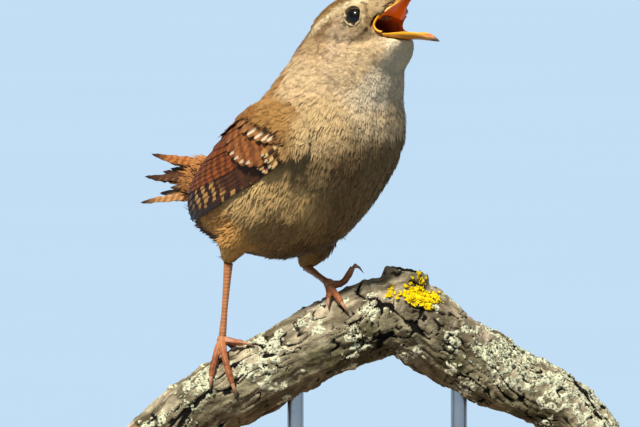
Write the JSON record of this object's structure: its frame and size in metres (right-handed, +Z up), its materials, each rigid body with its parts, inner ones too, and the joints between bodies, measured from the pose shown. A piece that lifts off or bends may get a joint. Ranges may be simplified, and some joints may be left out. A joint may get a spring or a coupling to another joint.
{
  "type": "wren on a perch",
  "caption": "Still life-size model of a singing wren gripping a short arched length of branch, held by rods on a flat display base.",
  "frame": {"origin": "middle of the base plate at its flat underside", "axes": "+Z up, +X to the viewer's right along the branch, +Y away from the viewer; the bird heads toward +X and the viewer"},
  "size_m": [0.1295, 0.0694, 0.1395],
  "materials": {
    "stand_wood": "satin oiled",
    "stand_steel": "satin",
    "bark": "rough weathered bark with lichen",
    "plumage_body": "matte feathers",
    "plumage_head": "matte feathers",
    "plumage_wing": "matte barred feathers",
    "plumage_tail": "matte barred feathers",
    "eye": "wet gloss",
    "bill_upper": "satin horn",
    "bill_lower": "satin horn",
    "gape": "soft satin skin",
    "mouth": "moist skin",
    "leg": "scaly skin",
    "claw": "polished horn"
  },
  "bodies": {
    "root": {"stand_base": "stand_wood", "stand_rod_left": "stand_steel", "stand_rod_right": "stand_steel", "perch": "bark", "trunk": "plumage_body", "neck": "plumage_body", "head": "plumage_head", "rump": "plumage_body", "tail": "plumage_tail", "wing_coverts_right": "plumage_wing", "wing_secondaries_right": "plumage_wing", "wing_primaries_right": "plumage_wing", "thigh_right": "plumage_body", "tarsus_right": "leg", "foot_right": "leg", "claw_right_1": "claw", "claw_right_2": "claw", "claw_right_3": "claw", "claw_right_4": "claw", "eye_right": "eye", "gape_right": "gape", "wing_coverts_left": "plumage_wing", "wing_secondaries_left": "plumage_wing", "wing_primaries_left": "plumage_wing", "thigh_left": "plumage_body", "tarsus_left": "leg", "foot_left": "leg", "claw_left_1": "claw", "claw_left_2": "claw", "claw_left_3": "claw", "claw_left_4": "claw", "eye_left": "eye", "gape_left": "gape", "bill_upper": "bill_upper", "bill_lower": "bill_lower", "mouth_lining": "mouth"}
  },
  "joints": []
}
